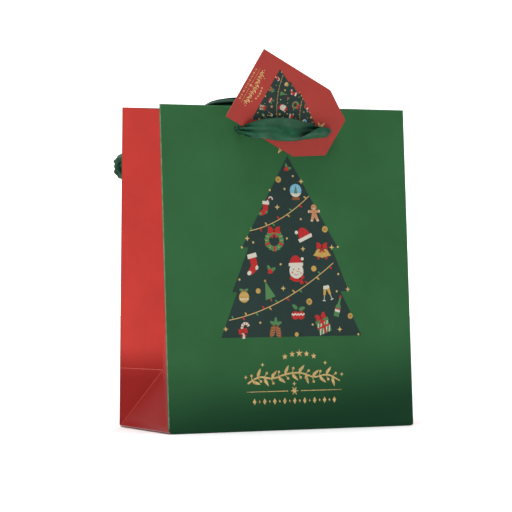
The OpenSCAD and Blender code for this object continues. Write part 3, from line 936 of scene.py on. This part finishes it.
def pine_cones():
    shapes = [("leaf", leaf_shape(0, 2.8, 5.2, 3.2, 95)), ("leaf", leaf_shape(0, 2.4, 5.4, 3.2, 160)),
              ("leaf", leaf_shape(0, 2.4, 5.4, 3.2, 25))]
    for x, turn in ((-2.2, -14), (2.6, 22)):
        shapes.append(("brown", disc(x, -2.8, 2.1, 4.8, turn, 20)))
        for k in range(4):
            y = 0.2 - 1.8 * k
            shapes.append(("biscuit", stroke([(x - 1.6, y), (x, y - 0.8), (x + 1.6, y)], 0.35)))
    return shapes


def bowed_cane():
    return candy_cane(1.7) + bow(0.3, -2.6, 3.9)


def placed(shapes, x, y, turn=0.0, size=1.0):
    return [(ink, set_round(loop, turn, x, y, size)) for ink, loop in shapes]


def light_string(start, end, sag, bulbs):
    """A gold string of lights that hangs in a curve from start, low on the left, to end."""
    t = np.linspace(0, 1, 25)
    line = np.stack([start[0] + (end[0] - start[0]) * t,
                     start[1] + (end[1] - start[1]) * t - 4 * sag * t * (1 - t)], 1)
    shapes = [("pale_gold", stroke(line, 0.55))]
    tints = ["leaf", "red", "gold"]
    for k in range(bulbs):
        i = 1 + round(k * 22 / (bulbs - 1))
        slope = math.degrees(math.atan2(*(line[i + 1] - line[i - 1])[::-1]))
        side = 1 if k % 2 == 0 else -1
        away = slope + 90 * side + 20
        x, y = line[i] + 1.5 * np.array([math.cos(math.radians(away)), math.sin(math.radians(away))])
        shapes.append((tints[k % len(tints)], disc(x, y, 1.35, 0.62, away, 10)))
    return shapes


def fir_artwork():
    tree = [(0.8, 195.2), (39.2, 129.9), (34.4, 129.6), (47.3, 98.1), (40.6, 97.9), (57.0, 66.0),
            (-55.8, 66.0), (-42.4, 97.9), (-46.2, 98.1), (-32.4, 129.5), (-37.4, 129.9)]
    art = [("foil", burst(0.8, 206.8, 13.0, 5.0, 5, 90)), ("fir", tree)]
    art += light_string((-31.0, 141.4), (17.3, 166.4), 4.2, 9)
    art += light_string((-49.2, 78.4), (35.4, 118.5), 6.5, 14)
    for make, x, y, turn, size in (
        (holly, -0.3, 185.9, 0, 0.85), (gold_ball, -7.0, 178.0, 0, 0.95), (snow_globe, 6.7, 170.3, 0, 1.0),
        (biscuit_figure, 21.0, 154.2, 2, 1.0), (gold_ball, 29.4, 142.6, 0, 1.0), (wreath, -11.7, 134.6, 0, 1.0),
        (bobble_hat, 12.3, 138.6, 24, 1.0), (bells, 26.5, 125.7, 0, 1.1), (holly, -15.8, 112.9, 20, 1.0),
        (snowman, 5.2, 114.2, 4, 0.9), (small_fir, -17.7, 98.7, 18, 1.0), (bauble, -37.0, 94.6, 0, 1.0),
        (glasses, 29.5, 97.4, 8, 0.96), (bottle, 38.4, 87.0, -16, 0.98), (twin_baubles, 5.6, 83.8, 0, 1.0),
        (gold_ball, 14.9, 90.8, 0, 1.0), (gold_ball, 48.0, 80.2, 0, 0.9), (gift_box, 25.7, 74.3, 20, 0.98),
        (pine_cones, -12.8, 72.6, -6, 0.95), (bowed_cane, -39.2, 72.4, 10, 0.95),
    ):
        art += placed(make(), x, y, turn, size)
    art += placed(candy_cane(0.85), -15.0, 164.6, -30)
    art += placed(stocking("white", "red", "leaf"), -18.1, 156.8, -6, 0.78)
    art += placed(stocking("white", "red", "white"), -28.4, 117.6, 14, 1.06)
    for x, y, r in ((19.4, 114.4, 2.1), (-25.7, 98.8, 1.9), (4.0, 67.6, 1.6)):
        art.append(("gold", disc(x, y, r)))
    for x, y in ((4.8, 180.6), (-2.2, 171.3), (-14.0, 170.4), (10.1, 149.8), (-28.5, 133.2), (-37.6, 129.7),
                 (-1.6, 136.0), (39.5, 129.9), (-7.2, 117.6), (39.2, 110.4), (-40.2, 106.9), (37.5, 98.0),
                 (17.1, 74.4), (54.3, 66.9), (-24.8, 76.3)):
        art.append(("pale_gold", disc(x, y, 0.8, count=12)))
    for x, y, r in ((11.3, 176.8, 2.1), (-8.5, 158.3, 2.1), (-33.1, 136.0, 2.0), (11.1, 128.5, 2.1),
                    (34.5, 129.6, 2.1), (46.6, 99.4, 2.0), (-5.7, 100.5, 2.1), (39.1, 70.7, 2.2),
                    (-52.1, 72.2, 2.0)):
        art.append(("pale_gold", burst(x, y, r, 0.75, 4)))
    return art

# ---- Front panel ----
# The front wall: green ground, artwork and flourish, with a rolled fold round all four sides and two punched
# holes. It stands with a very slight belly.
def wall_relief(x, y, belly):
    """How far a wall swells out in its middle, less the roll along its four sides."""
    across = np.cos(np.clip(x / bag_half_width, -1, 1) * math.pi / 2)
    swell = belly * across * np.sin(np.pi * np.clip(y / panel_length, 0, 1))**2
    turned = rolled(bag_half_width - np.abs(x)) + rolled(panel_length - y) + rolled(y)
    return swell - np.minimum(turned, roll)


def front_sheet(x, y, depth):
    ripple = 0.00015 * np.sin(31 * x + 2) * np.sin(38 * y) * np.clip((panel_length - y) / 0.04, 0, 1)
    return on_front(x, y, wall_relief(x, y, 0.0006) + ripple - depth)


def flourish():
    """Stamped foil under the fir: an arc of stars, a leafy garland, a ruled line and a row of diamonds."""
    art = []
    for k in range(5):
        art.append(("foil", burst(-6.0 + 5.8 * k, 54.2 - 0.55 * (k - 2)**2, 3.1 if k == 2 else 2.3, 1.05, 5)))
    stem = curved([(-36, 33.5), (-27, 37.8), (-16, 36.8), (-5, 39.6), (6, 40.2), (17, 37.2),
                   (28, 38.4), (38, 34)], 8)
    art.append(("foil", stroke(stem, 1.3, 1.1)))
    for k in range(3, len(stem) - 3, 4):
        x, y = stem[k]
        slope = math.degrees(math.atan2(*(stem[k + 1] - stem[k - 1])[::-1]))
        side = 1 if (k // 4) % 2 else -1
        blade = [(0, 0), (2.2, 1.5 * side), (5.2, 0.9 * side), (7.4, 0), (4.8, -0.9 * side), (1.8, -0.9 * side)]
        art.append(("foil", set_round(blade, slope + 52 * side, x, y)))
        c, s = math.cos(math.radians(slope - 62 * side)), math.sin(math.radians(slope - 62 * side))
        art.append(("foil", stroke([(x, y), (x + 3.1 * c, y + 3.1 * s)], 0.45)))
        art.append(("foil", disc(x + 3.7 * c, y + 3.7 * s, 1.0, count=12)))
    for x, y in ((-37.4, 38.0), (39.6, 38.6), (-24.0, 46.6), (26.4, 47.0), (1.0, 32.6)):
        art.append(("foil", burst(x, y, 1.7, 0.6, 4)))
    for side in (-1, 1):
        art.append(("foil", stroke([(side * 38 + 1, 27.6), (side * 5.2 + 1, 27.6)], 0.35, 0.6)))
    for turn in range(0, 180, 60):
        art.append(("foil", stroke(set_round([(-3.0, 0), (3.0, 0)], turn, 1, 27.6), 0.6)))
    art.append(("foil", burst(1, 27.6, 2.0, 1.0, 6)))
    for k in range(-8, 9):
        x, y = 4.0 * k + 1, 20.6
        size = 2.3 if k % 2 == 0 else 1.1
        art.append(("foil", [(x - size * 0.62, y), (x, y - size), (x + size * 0.62, y), (x, y + size)]))
    return art


def in_metres(art):
    return [(ink, [(x / 1000, y / 1000) for x, y in loop]) for ink, loop in art]


def worn_edges(shade, low, high, half_width, width=0.00045):
    """Narrow strips along the two side folds, where the film is rubbed."""
    inner = half_width - width
    return [(shade, oblong(-half_width, low, -inner, high)), (shade, oblong(inner, low, half_width, high))]


hole_radius = 0.0036
ribbon_holes = [round_loop(side * hole_side, hole_up, hole_radius) for side in (-1, 1)]
panel_outline = panel_shape(bag_half_width, panel_length)
rubbed_folds = worn_edges("green_worn", 0.0035, 0.2297, bag_half_width - 1e-5)
front_art = in_metres(fir_artwork() + flourish()) + rubbed_folds
front_wall = cut_sheet("front_panel_printed", panel_outline, front_sheet, green_paper, front_art, ribbon_holes,
                       spacing=0.005, creases=edge_lines(bag_half_width, panel_length), edge=green_paper)
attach(front_wall, "bag")
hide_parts("front_panel")

# ---- Back panel ----
# The back wall carries no print. A crease runs across it at the height where the folded base turns up.
def back_sheet(x, y, depth):
    dent = 0.00022 * np.exp(-((y - bag_half_depth) / 0.0006)**2)
    return on_back(x, y, wall_relief(x, y, 0.0005) - dent - depth)


fold_line = [("green_worn", [(-0.0975, 0.0424), (0.0975, 0.0424), (0.0975, 0.0426), (-0.0975, 0.0426)])]
crease_cuts = [[(-0.0974, bag_half_depth + d), (0.0974, bag_half_depth + d)]
               for d in (-0.0012, -0.0006, 0.0006, 0.0012)]
back_wall = cut_sheet("back_panel_plain", panel_outline, back_sheet, green_paper,
                      fold_line + rubbed_folds, ribbon_holes, spacing=0.006,
                      creases=edge_lines(bag_half_width, panel_length) + crease_cuts, edge=green_paper)
back_wall.data.flip_normals()
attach(back_wall, "bag")
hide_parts("back_panel")

# ---- Gussets ----
# The two red side walls. Each is creased down its middle, pushed in at the mouth, and carries the diagonal
# creases and the cross crease of the folded base, with the turned-in strip glued inside its top edge.
gusset_start = 0.0012
knee_depth = 0.0156
mouth_depth = 0.0276


def gusset_depth(t, up):
    """How far the wall is pushed in, t from -1 at the front fold to 1 at the back fold, at height up."""
    middle = np.interp(up, [0, bag_half_depth, panel_length], [knee_depth, knee_depth, mouth_depth])
    ridge = middle * (1 - np.abs(t))
    below = knee_depth * up / bag_half_depth
    low = np.minimum(knee_depth * (1 - np.abs(t)), below)
    full = np.where(up < bag_half_depth, low, ridge)
    flare = 0.0007 * np.sin(np.pi * np.clip((up - bag_half_depth) / (panel_length - bag_half_depth), 0, 1))
    return full + flare * np.sin(np.pi * np.abs(t)) * np.sign(up - bag_half_depth).clip(0)


def gusset_place(side, extra):
    """A function that carries a flat point (t * half depth, up) onto the left (-1) or right (1) wall."""
    def place(x, y, depth):
        t = np.clip(x / bag_half_depth, -1, 1)
        share = (t + 1) / 2
        front_y = -bag_half_depth + y * math.sin(front_lean) + 0.0005
        back_y = bag_half_depth - y * math.sin(back_lean) - 0.0005
        z = y * (math.cos(front_lean) * (1 - share) + math.cos(back_lean) * share)
        z = z - 0.0024 * (1 - np.abs(t)) * np.clip((y - 0.16) / 0.07, 0, 1)
        inward = gusset_depth(t, y) + depth + extra
        return np.stack([side * (bag_half_width - inward), front_y + (back_y - front_y) * share, z], axis=-1)
    return place


def gusset_wall(name, side, shade, worn, extra, low, high, creased, wide=1.0, underside=None):
    half = bag_half_depth * wide
    knee = (0.0, bag_half_depth)
    outline = [(-half, low), (half, low), (half, high), (-half, high)]
    lines = [[(0.0, bag_half_depth), (0.0, high)]] if creased else [[(0.0, low), (0.0, high)]]
    art = []
    if creased:
        near = half - low
        lines += [[(-near, low), knee], [(near, low), knee], [(-half, bag_half_depth), (half, bag_half_depth)]]
        wear = 0.00022
        d = wear * 0.7
        middle = bag_half_depth
        art = [(worn, loop) for loop in (
            oblong(-wear, middle, wear, high),
            [(-near - d, low + d), (-near + d, low + d), (d, middle - d), (-d, middle + d)],
            [(near - d, low + d), (near + d, low + d), (d, middle + d), (-d, middle - d)],
            oblong(0, middle - wear, half, middle + wear),
        )]
        art += worn_edges(worn, low, high, half, 0.0003)
    piece = cut_sheet(name, outline, gusset_place(side, extra), shade, art, spacing=0.005, creases=lines,
                      thickness=0.00034, underside=underside, edge=red_paper)
    if side < 0:
        piece.data.flip_normals()
    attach(piece, "bag")
    return piece


for side, word in ((-1, "left"), (1, "right")):
    wall = gusset_wall(f"{word}_gusset_creased", side, red_paper, "red_worn", 0.0,
                       gusset_start, panel_length, True)
    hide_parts(f"{word}_gusset")
    lining = gusset_wall(f"{word}_gusset_turned_in_edge", side, white_paper, "red_worn", 0.0005,
                         panel_length - 0.034, panel_length - 0.0001, False, 0.94, underside=red_paper)
    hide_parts(f"{word}_turn_in")

# ---- Turned-in top edges and card strips ----
# The panels' paper is folded in over a strip of grey board and glued down, so the rim is three layers thick.
# These four keep their CAD shape.
def grey_board_finish():
    """Unlined grey chipboard: flecks of fibre and a soft mottle."""
    material, nodes, links, surface = node_tree("grey_chipboard")
    place = nodes.new("ShaderNodeTexCoord").outputs["Object"]
    mottle = noise(nodes, links, place, 160, 6)
    flecks = add_node(nodes, "ShaderNodeTexVoronoi", Scale=420)
    links.new(place, flecks.inputs["Vector"])
    base = mix_colour(nodes, links, (0.40, 0.38, 0.34), (0.56, 0.54, 0.49),
                      stretch(nodes, links, mottle, 0.3, 0.7))
    links.new(mix_colour(nodes, links, base, (0.24, 0.22, 0.20),
                         stretch(nodes, links, flecks.outputs["Distance"], 0.12, 0.03, 0, 0.55)),
              surface.inputs["Base Color"])
    surface.inputs["Roughness"].default_value = 0.85
    bumped(nodes, links, mottle, 0.3, 0.0002, surface)
    return material


def finish_node(cad_name, material):
    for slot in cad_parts[cad_name].material_slots:
        slot.material = material


grey_board = grey_board_finish()
finish_node("front_turn_in", green_paper)
finish_node("back_turn_in", green_paper)
finish_node("front_card_strip", grey_board)
finish_node("back_card_strip", grey_board)

# ---- Base ----
# The four base flaps are the walls' own paper, folded in and glued over one another, printed on the side that
# faces the table. A loose grey board lies on them, and the body's glue flap runs up the back right corner.
def flap_finish(name, printed, height):
    """Printed below the given height and uncoated white above it."""
    material, nodes, links, surface = node_tree(name)
    place = nodes.new("ShaderNodeTexCoord").outputs["Object"]
    split = nodes.new("ShaderNodeSeparateXYZ")
    links.new(place, split.inputs[0])
    fibre = noise(nodes, links, place, 300, 5)
    grain = stretch(nodes, links, fibre, 0.3, 0.7)
    below = mix_colour(nodes, links, tuple(c * 0.85 for c in printed), tuple(c * 1.15 for c in printed), grain)
    above = mix_colour(nodes, links, (0.74, 0.72, 0.67), (0.84, 0.82, 0.77), grain)
    side = stretch(nodes, links, split.outputs["Z"], height - 0.00004, height + 0.00004)
    links.new(mix_colour(nodes, links, below, above, side), surface.inputs["Base Color"])
    links.new(stretch(nodes, links, fibre, 0.3, 0.7, 0.5, 0.75), surface.inputs["Roughness"])
    return material


flap_green = (0.034, 0.150, 0.050)
flap_red = (0.565, 0.046, 0.034)
for cad_name, printed, layer in (("base_back_flap", flap_green, 0), ("base_front_flap", flap_green, 1),
                                 ("base_left_flap", flap_red, 2), ("base_right_flap", flap_red, 2)):
    finish_node(cad_name, flap_finish(f"{cad_name}_paper", printed, (layer + 0.5) * paper_thickness))
finish_node("base_board", grey_board)
finish_node("seam_flap", white_paper)

# ---- Gift tag ----
# A swing tag of 350 g card with the wall's artwork printed small on one side. It has two clipped corners and a
# round hole, and hangs on the front ribbon.
tag_hole = Vector((0.0292, -0.0353745, 0.2119925))
tag_along = Vector((0.89614, 0.0757977, -0.4372486)).normalized()
tag_out = Vector((-0.0274472, -0.9739515, -0.2250891)).normalized()
tag_across = tag_out.cross(tag_along)
tag_card = 0.0005


def tag_sheet(x, y, depth):
    curl = 0.0011 * np.clip((-x - 0.036) / 0.0405, 0, 1)**2
    curl = curl + 0.0005 * (y / 0.0272)**2 * np.clip((-x - 0.01) / 0.06, 0, 1)
    rise = curl + tag_card / 2 - depth
    return (np.array(tag_hole) + x[:, None] * np.array(tag_along) + y[:, None] * np.array(tag_across)
            + rise[:, None] * np.array(tag_out))


def on_tag(art):
    return [(ink, [((-57.2 + 0.364 * (y - 66)) / 1000, (0.8 - 0.364 * x) / 1000) for x, y in loop])
            for ink, loop in art]


tag_outline = [(-0.0765, -0.0272), (-0.0135, -0.0272), (0.009, -0.0145), (0.009, 0.0145), (-0.0135, 0.0272),
               (-0.0765, 0.0272)]
tag_art = on_tag(fir_artwork() + flourish())
red_tag_card = paper_finish("red_tag_card", (0.41, 0.046, 0.036), (0.70, 0.30, 0.26), roughness=0.45)
tag_hole_radius = 0.0034
tag_hole_loop = round_loop(0, 0, tag_hole_radius, 32)
tag = cut_sheet("gift_tag_printed", tag_outline, tag_sheet, red_tag_card, tag_art, [tag_hole_loop],
                spacing=0.004, thickness=tag_card, edge=red_worn)
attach(tag, "tag")
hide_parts("gift_tag")

# ---- Frayed ends ----
# The ribbon's three cut ends fray: single warp threads stand out of the cut, each a little different.
def input_named(group, label):
    return next(item.identifier for item in group.interface.items_tree
                if item.item_type == "SOCKET" and item.in_out == "INPUT" and item.name == label)


def fraying_group():
    group = bpy.data.node_groups.new("frayed_threads", "GeometryNodeTree")
    for label, kind in (("Geometry", "Geometry"), ("Thread length", "Float"), ("Thread radius", "Float"),
                        ("Spread", "Float"), ("Seed", "Int")):
        group.interface.new_socket(label, in_out="INPUT", socket_type=f"NodeSocket{kind}")
    group.interface.new_socket("Geometry", in_out="OUTPUT", socket_type="NodeSocketGeometry")
    nodes, links = group.nodes, group.links
    source, result = nodes.new("NodeGroupInput"), nodes.new("NodeGroupOutput")
    thread = nodes.new("GeometryNodeMeshCone")
    thread.inputs["Vertices"].default_value = 5
    thread.inputs["Side Segments"].default_value = 3
    links.new(source.outputs["Thread radius"], thread.inputs["Radius Bottom"])
    links.new(source.outputs["Thread length"], thread.inputs["Depth"])
    direction = add_node(nodes, "GeometryNodeInputNamedAttribute", data_type="FLOAT_VECTOR")
    direction.inputs["Name"].default_value = "run_out"
    stray = add_node(nodes, "FunctionNodeRandomValue", data_type="FLOAT_VECTOR")
    stray.inputs[0].default_value = (-1, -1, -1)
    stray.inputs[1].default_value = (1, 1, 1)
    links.new(source.outputs["Seed"], stray.inputs["Seed"])
    spread = add_node(nodes, "ShaderNodeVectorMath", operation="SCALE")
    links.new(stray.outputs[0], spread.inputs[0])
    links.new(source.outputs["Spread"], spread.inputs["Scale"])
    lean = add_node(nodes, "ShaderNodeVectorMath", operation="ADD")
    links.new(direction.outputs["Attribute"], lean.inputs[0])
    links.new(spread.outputs[0], lean.inputs[1])
    align = add_node(nodes, "FunctionNodeAlignRotationToVector", axis="Z")
    links.new(lean.outputs[0], align.inputs["Vector"])
    size = add_node(nodes, "FunctionNodeRandomValue", data_type="FLOAT")
    size.inputs[2].default_value = 0.35
    size.inputs[3].default_value = 1.3
    links.new(source.outputs["Seed"], size.inputs["Seed"])
    place = nodes.new("GeometryNodeInstanceOnPoints")
    links.new(source.outputs["Geometry"], place.inputs["Points"])
    links.new(thread.outputs["Mesh"], place.inputs["Instance"])
    links.new(align.outputs["Rotation"], place.inputs["Rotation"])
    links.new(size.outputs[1], place.inputs["Scale"])
    real = nodes.new("GeometryNodeRealizeInstances")
    links.new(place.outputs["Instances"], real.inputs["Geometry"])
    paint = nodes.new("GeometryNodeSetMaterial")
    paint.inputs["Material"].default_value = satin
    links.new(real.outputs["Geometry"], paint.inputs["Geometry"])
    links.new(paint.outputs["Geometry"], result.inputs["Geometry"])
    return group


def frayed_end(name, ribbon, body, seed):
    """Threads on the last row of a ribbon's points, made by the node group and applied."""
    columns = 45
    count = len(ribbon.data.vertices) // 2
    points = np.array([v.co for v in ribbon.data.vertices])[:count].reshape(-1, columns, 3)
    edge, run_out = points[-1], unit(points[-1] - points[-3])
    mesh = bpy.data.meshes.new(name)
    mesh.from_pydata([tuple(p) for p in edge], [], [])
    mesh.attributes.new("run_out", "FLOAT_VECTOR", "POINT").data.foreach_set("vector", run_out.ravel())
    piece = bpy.data.objects.new(name, mesh)
    bpy.context.scene.collection.objects.link(piece)
    modifier = piece.modifiers.new("threads", "NODES")
    modifier.node_group = threads
    settings = {"Thread length": 0.0019, "Thread radius": 0.00006, "Spread": 0.35, "Seed": seed}
    for label, value in settings.items():
        modifier[input_named(threads, label)] = value
    shape = bpy.data.meshes.new_from_object(piece.evaluated_get(bpy.context.evaluated_depsgraph_get()))
    piece.modifiers.clear()
    piece.data = shape
    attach(piece, body)


threads = fraying_group()
frayed_end("front_ribbon_threads_left", front_tails[0], "front_loop", 3)
frayed_end("front_ribbon_threads_right", front_tails[1], "front_loop", 5)
frayed_end("back_ribbon_threads", back_tail, "back_loop", 8)

# ---- Floor and light ----
# A plain pale surface and a bright backdrop, a large soft key from the left, one more from above, and a wide
# weak sun straight down. None of them belongs to the object.
def stage_sheet(name, corners, whiteness, roughness, glow=0.0):
    mesh = bpy.data.meshes.new(name)
    mesh.from_pydata(corners, [], [(0, 1, 2, 3)])
    paint, _, _, surface = node_tree(f"pale_{name}")
    surface.inputs["Base Color"].default_value = (whiteness, whiteness, whiteness, 1)
    surface.inputs["Roughness"].default_value = roughness
    surface.inputs["Emission Color"].default_value = (1, 1, 1, 1)
    surface.inputs["Emission Strength"].default_value = glow
    mesh.materials.append(paint)
    sheet = bpy.data.objects.new(name, mesh)
    bpy.context.scene.collection.objects.link(sheet)
    return sheet


def soft_light(name, position, target, size, power):
    light = bpy.data.lights.new(name, "AREA")
    light.shape = "SQUARE"
    light.size = size
    light.energy = power
    lamp = bpy.data.objects.new(name, light)
    bpy.context.scene.collection.objects.link(lamp)
    lamp.location = position
    lamp.rotation_euler = (Vector(target) - Vector(position)).to_track_quat("-Z", "Y").to_euler()


floor_height = -0.0002
floor = stage_sheet("floor", [(x, y, floor_height) for x, y in oblong(-4, -4, 4, 4)], 0.9, 0.9)
soft_light("key", (-1.3, -0.25, 0.75), (0, 0, 0.14), 0.6, 4.6)
soft_light("top", (-0.15, -0.35, 1.25), (0, 0, 0.1), 0.9, 5.0)
overhead = bpy.data.lights.new("overhead", "SUN")
overhead.energy = 2.0
overhead.angle = 0.7
overhead_lamp = bpy.data.objects.new("overhead", overhead)
bpy.context.scene.collection.objects.link(overhead_lamp)
backdrop_corners = [(-2.2, 4.0, -0.3), (5.5, 0.5, -0.3), (5.5, 0.5, 3), (-2.2, 4.0, 3)]
backdrop = stage_sheet("backdrop", backdrop_corners, 1.0, 0.5, glow=0.75)
world = bpy.data.worlds.new("pale_room")
world.use_nodes = True
world.node_tree.nodes["Background"].inputs["Color"].default_value = (0.95, 0.97, 1, 1)
world.node_tree.nodes["Background"].inputs["Strength"].default_value = 0.36
bpy.context.scene.world = world
bpy.context.scene.view_settings.view_transform = "Standard"
